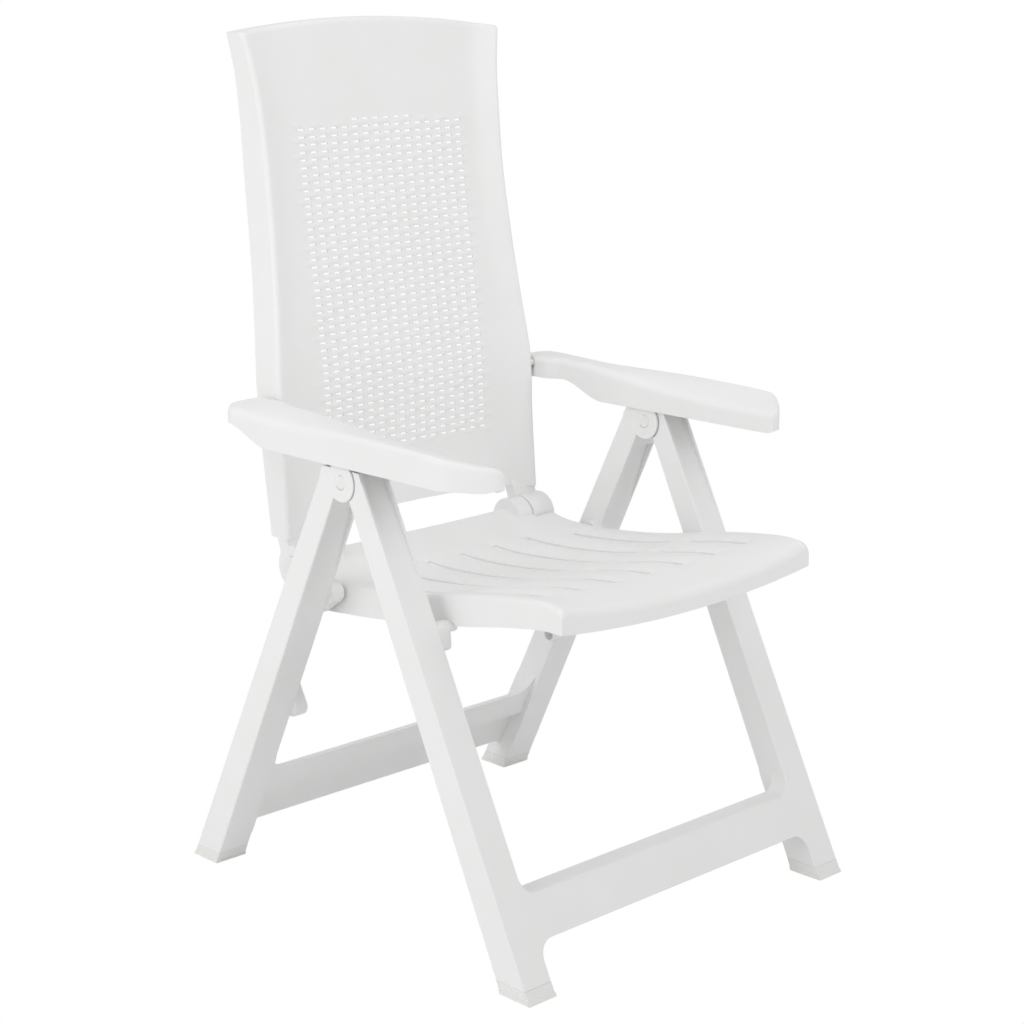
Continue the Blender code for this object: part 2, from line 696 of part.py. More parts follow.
def rack_outline():
    """A rib under the armrest's top with the row of round notches that set the recline."""
    first = CATCH[0] + 0.012
    last = CATCH[0] - NOTCH_TRAVEL - 0.014
    floor = CATCH[1] + CATCH_PIN_R + 0.0006
    lift = 0.0055
    points = [(first, floor + lift), (first, 0.6325), (last, 0.6325), (last, floor + lift)]
    pitch = NOTCH_TRAVEL / (NOTCH_COUNT - 1)
    for k in reversed(range(NOTCH_COUNT)):
        middle = CATCH[0] - k * pitch
        for angle in range(0, 181, 30):
            way = math.radians(180 - angle)
            points.append((middle + 0.0062 * math.cos(way), floor + 0.0062 * math.sin(way)))
        if k:
            points.append((middle + pitch / 2 - 0.004, floor))
            points.append((middle + pitch / 2 + 0.004, floor))
    points = [p for p in points if p[1] <= 0.6325]
    return points


def front_corner(inset):
    """What lies outside the round outer front corner of an armrest, seen from above."""
    across, along_arm = ARM_CORNER
    centre_x = ARM_X[1] - across
    centre_y = ARM_FRONT + along_arm
    outline = [(centre_x, ARM_FRONT - 0.01), (ARM_X[1] + 0.01, ARM_FRONT - 0.01),
               (ARM_X[1] + 0.01, centre_y)]
    for k in range(7):
        way = math.radians(15 * k)
        outline.append((centre_x + (across - inset) * math.cos(way),
                        centre_y - (along_arm - inset) * math.sin(way)))
    return plan_prism("corner", outline, ARM_BOTTOM - 0.03, ARM_BOTTOM + 0.07)


def armrest(name):
    body = soften_top(prism(name, arm_outline(), *ARM_X))
    cut(body, front_corner(0.0))
    hollow = prism("hollow", arm_outline(ARM_WALL, True), ARM_X[0] + ARM_WALL, ARM_X[1] - ARM_WALL)
    cut(hollow, front_corner(ARM_WALL))
    cut(body, hollow)
    for span in RACK_X:
        add(body, prism("rack", rack_outline(), *span))
    cut(body, disc("bore", ARM_PIVOT, BUSH_R + GAP, 0.22, BUSH_X[1] + GAP))
    set_origin(body, ARM_PIVOT)
    dress(body)
    return body


def bush(name):
    """Sleeve between the armrest and its pin."""
    ring = disc(name, ARM_PIVOT, BUSH_R, *BUSH_X)
    cut(ring, disc("bore", ARM_PIVOT, ARM_PIN_R + GAP, 0.22, 0.2560))
    dress(ring, (0.84, 0.84, 0.83), 0.40)
    return ring


# ---------------------------------------------------------------- assembly
def right_copy(item, name):
    place = item.location.copy()
    copy = mirrored(item, name)
    copy.location = place
    dress(copy)
    return copy


def build():
    clear_scene()
    front_frame()
    rear_frame()
    seat()
    back()
    arm = armrest("armrest_left")
    right_copy(arm, "armrest_right")
    head = HEAD_H - 2 * GAP
    pins = {
        "leg_pivot_pin": (LEG_PIVOT, PIN_R, (REAR_X[0] + GAP, REAR_X[1] - GAP),
                          ((HEAD_R, REAR_X[0] + GAP, REAR_X[0] + GAP + head),
                           (HEAD_R, REAR_X[1] - GAP - head, REAR_X[1] - GAP))),
        "catch_pin": (CATCH, CATCH_PIN_R, (0.2470, 0.2875), ()),
        "seat_pivot_pin": (SEAT_PIVOT, PIN_R, (0.2075, 0.2415), ()),
        "back_hinge_pin": (BACK_HINGE, HINGE_PIN_R, (0.1605, 0.2270),
                           ((HINGE_HEAD_R, 0.2270 - HEAD_H, 0.2270),)),
        "armrest_pin": (ARM_PIVOT, ARM_PIN_R, (0.2095, 0.2555), ((COLLAR_R, *COLLAR_X),)),
    }
    for base, (centre, radius, x_span, rings) in pins.items():
        left = rivet(base + "_left", centre, radius, x_span, rings)
        right = right_copy(left, base + "_right")
        for pin in (left, right):
            set_origin(pin, centre)
    sleeve = bush("armrest_bush_left")
    twin = right_copy(sleeve, "armrest_bush_right")
    for ring in (sleeve, twin):
        set_origin(ring, ARM_PIVOT)
    for place, sign, span in (("front", -1, FRONT_X), ("rear", 1, REAR_X)):
        cap = foot_cap("foot_cap_" + place + "_left", sign, span)
        right_copy(cap, "foot_cap_" + place + "_right")


build()
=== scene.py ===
# %% [markdown]
# # A folding resin garden armchair
#
# The real chair is moulded in white polypropylene. Two A-shaped leg frames cross in a round
# hub under each armrest, a dished seat with long slots hangs between them, and a tall back
# with a woven-look panel hinges on the seat. The pieces with soft mould radii are modelled
# again here around the fixed frame, and most of the plain pins keep their own shape.

# %% Load the fixed frame
import json
import math

import bmesh
import bpy
from mathutils import Matrix, Vector

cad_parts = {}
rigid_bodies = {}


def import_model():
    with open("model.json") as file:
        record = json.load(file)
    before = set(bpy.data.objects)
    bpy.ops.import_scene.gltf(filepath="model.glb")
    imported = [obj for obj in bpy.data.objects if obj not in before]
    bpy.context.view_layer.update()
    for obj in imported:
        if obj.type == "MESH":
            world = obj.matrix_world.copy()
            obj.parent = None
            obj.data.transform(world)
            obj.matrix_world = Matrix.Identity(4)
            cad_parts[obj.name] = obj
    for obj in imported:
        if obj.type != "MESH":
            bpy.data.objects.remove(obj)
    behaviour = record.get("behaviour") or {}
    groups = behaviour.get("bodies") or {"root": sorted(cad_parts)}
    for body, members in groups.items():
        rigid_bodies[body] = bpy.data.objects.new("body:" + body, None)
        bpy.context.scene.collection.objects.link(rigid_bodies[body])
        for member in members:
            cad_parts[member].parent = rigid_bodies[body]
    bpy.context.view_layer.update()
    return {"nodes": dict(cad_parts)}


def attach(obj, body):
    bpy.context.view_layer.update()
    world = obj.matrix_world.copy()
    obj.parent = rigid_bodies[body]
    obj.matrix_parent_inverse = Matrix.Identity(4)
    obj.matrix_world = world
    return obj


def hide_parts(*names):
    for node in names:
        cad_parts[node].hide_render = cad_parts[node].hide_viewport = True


for item in list(bpy.data.objects):
    bpy.data.objects.remove(item)
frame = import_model()

# %% [markdown]
# ## White polypropylene
#
# Injection-moulded polypropylene has an index of refraction of 1.49 and a satin skin copied
# from a lightly spark-eroded mould. Its white drifts a little with wall thickness, and its
# grain is about half a millimetre. The grain is drawn three times coarser, because at its
# real size no picture of the whole chair could show it.

# %% Colour and node helpers
MM = 0.001


def linear(code):
    """An sRGB hex colour as the linear colour that a shader wants."""
    parts = [int(code[i:i + 2], 16) / 255 for i in (1, 3, 5)]
    return [p / 12.92 if p <= 0.04045 else ((p + 0.055) / 1.055) ** 2.4 for p in parts] + [1.0]


def add_node(tree, kind, inputs, **settings):
    """One node with its settings, its fixed values and its links."""
    made = tree.nodes.new(kind)
    for key, value in settings.items():
        setattr(made, key, value)
    for key, value in inputs.items():
        if isinstance(value, bpy.types.NodeSocket):
            tree.links.new(value, made.inputs[key])
        else:
            made.inputs[key].default_value = value
    return made


def moulded_plastic(name, pale, deep, gloss, grain, relief):
    """A moulded white plastic: slow drift between two whites, satin gloss, fine mould grain."""
    material = bpy.data.materials.new(name)
    material.use_nodes = True
    tree = material.node_tree
    shader = tree.nodes["Principled BSDF"]
    shader.inputs["IOR"].default_value = 1.49
    shader.inputs["Metallic"].default_value = 0.0
    place = add_node(tree, "ShaderNodeTexCoord", {}).outputs["Object"]
    drift = add_node(tree, "ShaderNodeTexNoise",
                     {"Vector": place, "Scale": 1 / (90 * MM), "Detail": 3.0, "Roughness": 0.5})
    white = add_node(tree, "ShaderNodeMix",
                     {0: drift.outputs["Fac"], 6: linear(pale), 7: linear(deep)},
                     data_type="RGBA")
    tree.links.new(white.outputs[2], shader.inputs["Base Color"])
    skin = add_node(tree, "ShaderNodeTexNoise",
                    {"Vector": place, "Scale": 1 / (6 * MM), "Detail": 2.0, "Roughness": 0.6})
    satin = add_node(tree, "ShaderNodeMapRange",
                     {"Value": skin.outputs["Fac"], "To Min": gloss - 0.04, "To Max": gloss + 0.04})
    tree.links.new(satin.outputs["Result"], shader.inputs["Roughness"])
    pores = add_node(tree, "ShaderNodeTexNoise",
                     {"Vector": place, "Scale": 1 / grain, "Detail": 2.0, "Roughness": 0.55})
    bump = add_node(tree, "ShaderNodeBump",
                    {"Height": pores.outputs["Fac"], "Strength": relief, "Distance": 0.15 * MM})
    tree.links.new(bump.outputs["Normal"], shader.inputs["Normal"])
    return material


# %% The three finishes
POLYPROPYLENE = moulded_plastic("moulded_polypropylene", "#F1F1F1", "#ECECEB", 0.46, 1.5 * MM, 0.25)
POLYAMIDE = moulded_plastic("moulded_polyamide", "#EFEFED", "#E9E9E6", 0.38, 1.0 * MM, 0.12)
POLYETHYLENE = moulded_plastic("moulded_polyethylene", "#EEEEEC", "#E6E6E3", 0.52, 1.8 * MM, 0.35)
print("finishes:", POLYPROPYLENE.name, POLYAMIDE.name, POLYETHYLENE.name)

# %% [markdown]
# ## Camera and studio
#
# The chair stands in a plain white studio. A long lens looks at it from its right front
# corner, a little above the top of the back.

# %% Camera and light
camera_data = bpy.data.cameras.new("camera")
camera_data.lens = 79.55
camera_data.sensor_width = 36.0
camera = bpy.data.objects.new("camera", camera_data)
camera.location = (-1.9753, -2.0431, 1.1798)
camera.rotation_euler = [math.radians(a) for a in (76.25, 0.0, -43.96)]
bpy.context.scene.collection.objects.link(camera)
bpy.context.scene.camera = camera
bpy.context.scene.view_settings.view_transform = "Standard"


def softbox(name, place, size, power, aim=(0, 0, 0.5), spread=180):
    """A rectangular studio light that looks at the chair; a small spread narrows its beam."""
    light = bpy.data.lights.new(name, "AREA")
    light.energy = power
    light.shape = "RECTANGLE"
    light.size, light.size_y = size
    light.spread = math.radians(spread)
    item = bpy.data.objects.new(name, light)
    item.location = place
    item.rotation_euler = (Vector(aim) - Vector(place)).to_track_quat("-Z", "Y").to_euler()
    bpy.context.scene.collection.objects.link(item)


softbox("side_fill", (-3.2, 0.4, 1.7), (2.2, 2.6), 28)
softbox("front_fill", (0.2, -3.0, 1.9), (1.6, 1.2), 1.8, aim=(0.0, 0.2, 0.95), spread=50)
softbox("overhead", (0.0, -0.4, 3.4), (3.0, 3.0), 12)

# %% White room: a pale floor, and a sky of the same white
STUDIO = 0.71


def shown_white(tree, lit, output, surface):
    """What the lens sees as plain white, and the chair only as the studio's own light."""
    lens = add_node(tree, "ShaderNodeLightPath", {}).outputs["Is Camera Ray"]
    glow = add_node(tree, "ShaderNodeEmission" if surface else "ShaderNodeBackground",
                    {"Color": linear("#FFFFFF"), "Strength": 1.0})
    both = tree.nodes.new("ShaderNodeMixShader")
    tree.links.new(lens, both.inputs[0])
    tree.links.new(lit.outputs[0], both.inputs[1])
    tree.links.new(glow.outputs[0], both.inputs[2])
    tree.links.new(both.outputs[0], output.inputs["Surface"])


world = bpy.data.worlds.new("studio")
world.use_nodes = True
sky = world.node_tree.nodes["Background"]
sky.inputs["Color"].default_value = linear("#FFFFFF")
sky.inputs["Strength"].default_value = STUDIO
shown_white(world.node_tree, sky, world.node_tree.nodes["World Output"], False)
bpy.context.scene.world = world

floor_mesh = bmesh.new()
bmesh.ops.create_grid(floor_mesh, x_segments=1, y_segments=1, size=20.0)
floor_data = bpy.data.meshes.new("studio_floor")
floor_mesh.to_mesh(floor_data)
floor_mesh.free()
studio_floor = bpy.data.objects.new("studio_floor", floor_data)
bpy.context.scene.collection.objects.link(studio_floor)
floor_paint = bpy.data.materials.new("matt_floor_paint")
floor_paint.use_nodes = True
paint = floor_paint.node_tree.nodes["Principled BSDF"]
paint.inputs["Base Color"].default_value = linear("#F2F2F2")
paint.inputs["Roughness"].default_value = 0.9
shown_white(floor_paint.node_tree, paint, floor_paint.node_tree.nodes["Material Output"], True)
floor_data.materials.append(floor_paint)

# %% [markdown]
# ## Tools for mouldings
#
# Every moulding starts as a flat outline of a few corners. It is extruded, its corners are
# rounded with the bevel operator, and then its rims get the small radius of the mould.

# %% Outline, rounding and cutting
UPRIGHT = Matrix.Rotation(math.radians(90), 3, "Y")


def straighten(bm):
    """Let all faces look outward."""
    bmesh.ops.recalc_face_normals(bm, faces=bm.faces)
    return bm


def soften(bm, edges, radius, segments=3):
    """Round some edges."""
    if edges:
        bmesh.ops.bevel(bm, geom=edges, offset=radius, offset_type="OFFSET", segments=segments,
                        profile=0.5, affect="EDGES", clamp_overlap=True, material=-1)


def push(bm, faces, way):
    """Extrude faces and move the new end; gives the moved corner points."""
    grown = bmesh.ops.extrude_face_region(bm, geom=faces)["geom"]
    moved = [g for g in grown if isinstance(g, bmesh.types.BMVert)]
    bmesh.ops.translate(bm, verts=moved, vec=way)
    return moved


def profile(corners, x_from, x_to, rim=0.0, steps=5):
    """A side-view outline (y, z, corner radius) pushed across the chair, with softened rims."""
    bm = bmesh.new()
    face = bm.faces.new([bm.verts.new((x_from, c[0], c[1])) for c in corners])
    push(bm, [face], (x_to - x_from, 0, 0))
    straighten(bm)
    for radius in sorted({c[2] for c in corners if c[2] > 0}):
        spots = [Vector((c[0], c[1])) for c in corners if c[2] == radius]
        edges = [e for e in bm.edges if abs(e.verts[0].co.x - e.verts[1].co.x) > 1e-5
                 and any((e.verts[0].co.yz - s).length < 1e-6 for s in spots)]
        soften(bm, edges, radius, steps)
    if rim:
        ends = [f for f in bm.faces if abs(f.normal.x) > 0.99]
        soften(bm, list({e for f in ends for e in f.edges}), rim)
    return bm


def drum(centre, radius, x_from, x_to, rim=0.0, steps=48):
    """A round boss across the chair about the point (y, z)."""
    bm = bmesh.new()
    made = bmesh.ops.create_circle(bm, cap_ends=True, radius=radius, segments=steps)["verts"]
    bmesh.ops.rotate(bm, verts=made, cent=(0, 0, 0), matrix=UPRIGHT)
    bmesh.ops.translate(bm, verts=made, vec=(x_from, *centre))
    push(bm, list(bm.faces), (x_to - x_from, 0, 0))
    straighten(bm)
    if rim:
        ends = [f for f in bm.faces if len(f.verts) > 8]
        soften(bm, [e for f in ends for e in f.edges], rim, 2)
    return bm


def lug(first, first_radius, second, second_radius, x_from, x_to, rim=0.0012):
    """Two round bosses with straight flanks between them."""
    bm = bmesh.new()
    for centre, radius in ((first, first_radius), (second, second_radius)):
        ring = bmesh.ops.create_circle(bm, radius=radius, segments=40)["verts"]
        bmesh.ops.rotate(bm, verts=ring, cent=(0, 0, 0), matrix=UPRIGHT)
        bmesh.ops.translate(bm, verts=ring, vec=(x_from, *centre))
    extra = bmesh.ops.duplicate(bm, geom=list(bm.verts))["geom"]
    bmesh.ops.translate(bm, verts=extra, vec=(x_to - x_from, 0, 0))
    hull = bmesh.ops.convex_hull(bm, input=list(bm.verts))
    bmesh.ops.delete(bm, geom=hull["geom_interior"], context="VERTS")
    bmesh.ops.dissolve_limit(bm, angle_limit=math.radians(1), verts=bm.verts, edges=bm.edges)
    straighten(bm)
    ends = [f for f in bm.faces if abs(f.normal.x) > 0.99]
    soften(bm, list({e for f in ends for e in f.edges}), rim, 2)
    return bm


def gather(*meshes):
    """Several bmeshes in one."""
    whole = bmesh.new()
    for bm in meshes:
        step = bpy.data.meshes.new("step")
        bm.to_mesh(step)
        bm.free()
        whole.from_mesh(step)
        bpy.data.meshes.remove(step)
    return whole


def mirrored(bm):
    """A copy of a left shape for the right side of the chair."""
    other = bm.copy()
    bmesh.ops.scale(other, verts=other.verts, vec=(-1, 1, 1))
    bmesh.ops.reverse_faces(other, faces=other.faces)
    return other


def mirror_pair(bm):
    """The same shape on both sides of the chair."""
    return gather(bm, mirrored(bm))


def as_piece(name, bm):
    """A named object from a bmesh, which is used up."""
    data = bpy.data.meshes.new(name)
    bm.to_mesh(data)
    bm.free()
    item = bpy.data.objects.new(name, data)
    bpy.context.scene.collection.objects.link(item)
    return item


def settle(item):
    """Turn a piece's modifiers into its plain mesh."""
    graph = bpy.context.evaluated_depsgraph_get()
    graph.update()
    data = bpy.data.meshes.new_from_object(item.evaluated_get(graph))
    item.modifiers.clear()
    item.data = data


def cut(item, bm, solver="EXACT", tolerant=False):
    """Cut a shape out of a piece; a thin shell needs the tolerant way."""
    tool = as_piece("tool", bm)
    step = item.modifiers.new("step", "BOOLEAN")
    step.operation = "DIFFERENCE"
    step.solver = solver
    step.use_hole_tolerant = tolerant
    step.use_self = tolerant
    step.object = tool
    settle(item)
    bpy.data.objects.remove(tool)


def finish(item, body, material, nodes=(), sharp=35):
    """Smooth shading, finish, body and the frame nodes that the piece stands for."""
    item.data.materials.clear()
    item.data.materials.append(material)
    item.data.shade_smooth()
    item.data.set_sharp_from_angle(angle=math.radians(sharp))
    even = item.modifiers.new("even", "WEIGHTED_NORMAL")
    even.keep_sharp = True
    settle(item)
    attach(item, body)
    if nodes:
        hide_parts(*nodes)
    print(item.name, "on", body, len(item.data.polygons), "faces")
    return item


# %% [markdown]
# ## Sizes that the mouldings share
#
# They are the same driving sizes as the frame's own solids, in metres: a side-view place is
# (y, z), and the legs are mirrored about y = 0.

# %% Driving sizes
HUB = (0.0, 0.570)
SEAT_PIVOT = (0.0855, 0.4040)
BACK_HINGE = (0.180, 0.417)
ARM_PIVOT = (0.2035, 0.627)
FRONT_LEG = (0.2455, 0.2900)
REAR_LEG = (0.2430, 0.2910)
CAP_TOP = 0.0163
LEG_TOP = 0.5860
LEG_WALL = 0.0040
OUTER_FACE = (0.3242, 0.4975)   # distance from the hub plane at the floor, and slope
INNER_FACE = (0.2750, 0.4765)
CROWN_GAP = 0.0020              # from the hub plane to the legs' touching tops
RIM = 0.0020                    # mould radius of the legs
RIB = 0.0035
RIB_LEVELS = (0.030, 0.165, 0.235, 0.305, 0.375, 0.445, 0.500)
REAR_RIB_LEVELS = RIB_LEVELS[:-1]


def outer(z):
    """Where the leg's face away from the hub plane lies at a height."""
    return OUTER_FACE[0] - OUTER_FACE[1] * z


def inner(z):
    """Where the leg's face toward the hub plane lies at a height."""
    return INNER_FACE[0] - INNER_FACE[1] * z


# %% [markdown]
# ## The two leg frames
#
# Each frame is one moulding: two legs and a crossbar whose faces lie flush, with round
# fillets where they meet. One H-shaped outline gives all of that. Behind its skin the leg is
# hollow, with cross ribs, as thin-walled mouldings are.

# %% The H-shaped blank and its hollows
CLEAR = 0.0200                  # how far a cutting shape stands out of the piece
RAMP_EDGE = 0.0045              # what a ramp leaves standing at each side


def leg_blank(span, face, back, bar, fillets, sign):
    """Two legs and the bar between its two levels; the sign says on which side of the hub."""
    x0, x1 = span
    low, high = bar
    corners = [(-x1, CAP_TOP), (-x1, LEG_TOP), (-x0, LEG_TOP), (-x0, high), (x0, high),
               (x0, LEG_TOP), (x1, LEG_TOP), (x1, CAP_TOP), (x0, CAP_TOP), (x0, low),
               (-x0, low), (-x0, CAP_TOP)]
    bm = bmesh.new()
    front = bm.faces.new([bm.verts.new((x, face(z), z)) for x, z in corners])
    for v in push(bm, [front], (0, 0, 0)):
        v.co.y = back(v.co.z)
    straighten(bm)
    for level, fillet in zip(bar, fillets):
        bends = [e for e in bm.edges
                 if abs(e.verts[0].co.y - e.verts[1].co.y) > 0.01
                 and abs(e.verts[0].co.z - e.verts[1].co.z) < 1e-6
                 and abs(abs(e.verts[0].co.x) - x0) < 1e-6
                 and abs(e.verts[0].co.z - level) < 1e-6]
        soften(bm, bends, fillet, 7)
    crown = (INNER_FACE[0] - CROWN_GAP) / INNER_FACE[1]
    bmesh.ops.bisect_plane(bm, geom=list(bm.verts) + list(bm.edges) + list(bm.faces),
                           plane_co=(0, 0, crown), plane_no=(0, 0, 1), dist=1e-6)
    for v in bm.verts:
        if v.co.z > crown and abs(v.co.y - sign * inner(v.co.z)) < 1e-5:
            v.co.y = sign * CROWN_GAP
    rims = [e for e in bm.edges if len(e.link_faces) == 2 and e.calc_face_angle() > 0.6
            and e.verts[0].co.z < LEG_TOP - 1e-4 and e.verts[1].co.z < LEG_TOP - 1e-4
            and (e.verts[0].co.z > CAP_TOP + 1e-4 or e.verts[1].co.z > CAP_TOP + 1e-4)]
    soften(bm, rims, RIM)
    return bm


def rib_pockets(span, face, back, levels):
    """The hollows between a leg's cross ribs, open at the leg's back."""
    pockets = []
    for low, high in zip(levels[:-1], levels[1:]):
        floor = low + RIB
        pockets.append(profile([(face(floor) + LEG_WALL, floor, 0),
                                (face(high) + LEG_WALL, high, 0),
                                (back(high) + CLEAR, high, 0), (back(floor) + CLEAR, floor, 0)],
                               span[0] + LEG_WALL, span[1] - LEG_WALL))
    return mirror_pair(gather(*pockets))


def ramp(face, low, high, depth, span):
    """The hollow in a leg's face that deepens toward the armrest."""
    corners = [(face(low), low, 0), (face(high) + depth, high, 0), (face(high) - CLEAR, high, 0),
               (face(low) - CLEAR, low, 0)]
    return mirror_pair(profile(corners, span[0] + RAMP_EDGE, span[1] - RAMP_EDGE))


def behind(face, x_half, near, far, low, high):
    """A block from `near` to `far` behind the legs' front plane, across the chair."""
    return profile([(face(low) + near, low, 0), (face(high) + near, high, 0),
                    (face(high) + far, high, 0), (face(low) + far, low, 0)], -x_half, x_half)


# %% Front leg frame
def front_face(z):
    return -outer(z)


def front_back(z):
    return -inner(z)


FRONT_BAR = (0.058, 0.108)
FRONT_BAR_CUTS = (
    (0.2452, 0.0260, 0.090, 0.0300, 0.1500),    # the bar is thinner than the legs
    (0.2400, 0.0036, 0.050, 0.0616, 0.1044),    # and hollow behind
)
front = as_piece("front_leg_frame_moulding",
                 leg_blank(FRONT_LEG, front_face, front_back, FRONT_BAR, (0.021, 0.021), -1))
cut(front, rib_pockets(FRONT_LEG, front_face, front_back, RIB_LEVELS))
for block in FRONT_BAR_CUTS:
    cut(front, behind(front_face, *block))
cut(front, ramp(front_face, 0.455, 0.600, 0.0090, FRONT_LEG))
hub_room = gather(drum(HUB, 0.0263, 0.2300, 0.2545), drum(HUB, 0.0263, 0.2795, 0.3000))
cut(front, mirror_pair(hub_room))
finish(front, "front_frame", POLYPROPYLENE, ["front_leg_frame"])

# %% Hub tongues, catch posts and seat rests of the front frame
catch_post = profile([(-0.0085, 0.570, 0), (0.0085, 0.570, 0), (0.0085, 0.615, 0.008),
                      (-0.0085, 0.615, 0.008)], 0.2600, 0.2740)
rests = gather(drum(HUB, 0.0215, 0.2547, 0.2793), catch_post,
               lug((-0.1145, 0.4010), 0.0095, (-0.1185, 0.3810), 0.0072, 0.2262, 0.2475),
               drum((-0.118, 0.4015), 0.0062, 0.2150, 0.2275, 0.0008))
finish(as_piece("front_frame_rests", mirror_pair(rests)), "front_frame", POLYPROPYLENE)

# %% Rear leg frame
REAR_BAR = (0.0435, 0.1345)
REAR_BAR_CUTS = (
    (0.2427, -0.020, 0.008, 0.030, 0.190),      # the bar lies a little behind the legs' faces
    (0.2427, -0.020, 0.026, 0.030, 0.097),      # and its lower half far behind them
    (0.2427, 0.034, 0.090, 0.030, 0.190),
    (0.2427, 0.018, 0.090, 0.115, 0.190),
    (0.2380, 0.0296, 0.060, 0.0476, 0.1006),    # hollows behind the two webs
    (0.2380, 0.0116, 0.060, 0.1000, 0.1309),
)
rear = as_piece("rear_leg_frame_moulding",
                leg_blank(REAR_LEG, inner, outer, REAR_BAR, (0.012, 0.030), 1))
cut(rear, rib_pockets(REAR_LEG, inner, outer, REAR_RIB_LEVELS))
for block in REAR_BAR_CUTS:
    cut(rear, behind(inner, *block))
cut(rear, ramp(inner, 0.440, 0.530, 0.0085, REAR_LEG))
cut(rear, mirror_pair(drum(HUB, 0.0245, 0.2541, 0.2799)))
finish(rear, "rear_frame", POLYPROPYLENE, ["rear_leg_frame"])

# %% Hub cheeks and lugs of the rear frame
cheeks = as_piece("rear_frame_hubs", mirror_pair(gather(
    drum(HUB, 0.0245, 0.2428, 0.2541, 0.0010), drum(HUB, 0.0245, 0.2799, 0.2912, 0.0010))))
cut(cheeks, mirror_pair(gather(drum(HUB, 0.0092, 0.2300, 0.2452),
                               drum(HUB, 0.0092, 0.2888, 0.3000))))
finish(cheeks, "rear_frame", POLYPROPYLENE)
sockets = as_piece("rear_frame_lugs", mirror_pair(gather(
    lug((0.0865, 0.4045), 0.0130, (0.112, 0.387), 0.0130, 0.2262, 0.2450),
    lug((0.1650, 0.2360), 0.0125, (0.176, 0.262), 0.0095, 0.2262, 0.2450))))
cut(sockets, mirror_pair(drum((0.1640, 0.2360), 0.0085, 0.2200, 0.2380)))
finish(sockets, "rear_frame", POLYPROPYLENE)

# %% [markdown]
# ## Foot caps
#
# Each leg stands in a soft cap with a lip at the floor and small upright grip ribs.

# %% Foot caps
CAP_LIP = 0.0045
LIP_PROUD = 0.0006              # how far the lip stands out of the leg's faces
WALL_PROUD = LIP_PROUD - 0.0008
GRIP_PROUD = 0.0001
GRIP_HALF = 0.0011
GRIP_LEAN = 0.0060


def foot_cap(sign, span, name, body, node, grips):
    """Both caps of a leg frame, each with its lip, its wall and a number of grip ribs."""
    top = CAP_TOP - 0.0003

    def edges(z, out):
        return sorted((sign * (outer(z) + out), sign * (inner(z) - out)))

    shape = []
    for z0, z1, out in ((0.0, CAP_LIP, LIP_PROUD), (CAP_LIP - 0.0003, top, WALL_PROUD)):
        a0, b0 = edges(z0, out)
        a1, b1 = edges(z1, out)
        shape.append(profile([(a0, z0, 0), (b0, z0, 0), (b1, z1, 0), (a1, z1, 0)],
                             span[0] - out, span[1] + out, 0.0006))
    lean = sign * GRIP_LEAN
    ahead, astern = edges(CAP_LIP, 0)
    for k in range(grips):
        y = ahead + (k + 0.5) * (astern - ahead) / grips
        shape.append(profile([(y - GRIP_HALF, CAP_LIP, 0), (y + GRIP_HALF, CAP_LIP, 0),
                              (y + GRIP_HALF - lean, top - 0.001, 0),
                              (y - GRIP_HALF - lean, top - 0.001, 0)],
                             span[0] - GRIP_PROUD, span[1] + GRIP_PROUD))
    left = gather(*shape)
    right = mirrored(left)
    for side, bm in (("_left", left), ("_right", right)):
        finish(as_piece(name + side, bm), body, POLYETHYLENE, [node + side])


foot_cap(-1, FRONT_LEG, "front_foot", "front_frame", "foot_cap_front", 5)
foot_cap(1, REAR_LEG, "rear_foot", "rear_frame", "foot_cap_rear", 6)

# %% [markdown]
# ## Tables of heights and widths
#
# The seat and the back are double-curved. Each is described by a few rows measured along it,
# and a smooth curve runs through the rows.

# %% Smooth rows
def along(rows, column, at):
    """Smooth value of one column of a table at a place along its first column."""
    keys = [r[0] for r in rows]
    at = min(max(at, keys[0]), keys[-1])
    i = max(0, min(len(keys) - 2, sum(k <= at for k in keys) - 1))

    def slope(j):
        a, b = max(j - 1, 0), min(j + 1, len(keys) - 1)
        return (rows[b][column] - rows[a][column]) / (keys[b] - keys[a])

    width = keys[i + 1] - keys[i]
    t = (at - keys[i]) / width
    a = (1 + 2 * t) * (1 - t) ** 2 * rows[i][column] + t * (1 - t) ** 2 * width * slope(i)
    b = t * t * (3 - 2 * t) * rows[i + 1][column] + t * t * (t - 1) * width * slope(i + 1)
    return a + b


def grid_of(columns, rows, place):
    """A grid whose corner (column, row) is moved to place(column, row)."""
    bm = bmesh.new()
    bmesh.ops.create_grid(bm, x_segments=len(columns) - 1, y_segments=len(rows) - 1, size=1)
    for v in bm.verts:
        i = round((v.co.x + 1) / 2 * (len(columns) - 1))
        j = round((v.co.y + 1) / 2 * (len(rows) - 1))
        v.co = place(columns[i], rows[j])
    return bm


def flange(bm, place):
    """A border grown from the grid's outer edges to place(corner)."""
    rim = [e for e in bm.edges if e.is_boundary]
    grown = bmesh.ops.extrude_edge_only(bm, edges=rim)["geom"]
    for v in [g for g in grown if isinstance(g, bmesh.types.BMVert)]:
        v.co = place(v.co)


def face_toward(item, way):
    """Turn the skin's faces so that the broadest one looks along `way`."""
    way = Vector(way)
    broadest = max(item.data.polygons, key=lambda p: p.area * abs(p.normal.dot(way)))
    if broadest.normal.dot(way) < 0:
        item.data.flip_normals()


def walled(item, thickness):
    """Give a skin its wall, inward."""
    wall = item.modifiers.new("wall", "SOLIDIFY")
    wall.thickness = thickness
    wall.offset = -1
    wall.use_even_offset = True
    settle(item)


# %% [markdown]
# ## Seat
#
# A thin dished shell with a soft front edge. Seven long slots let rain through, and the skin
# dips a little toward each slot, so that the bars between them feel rounded.

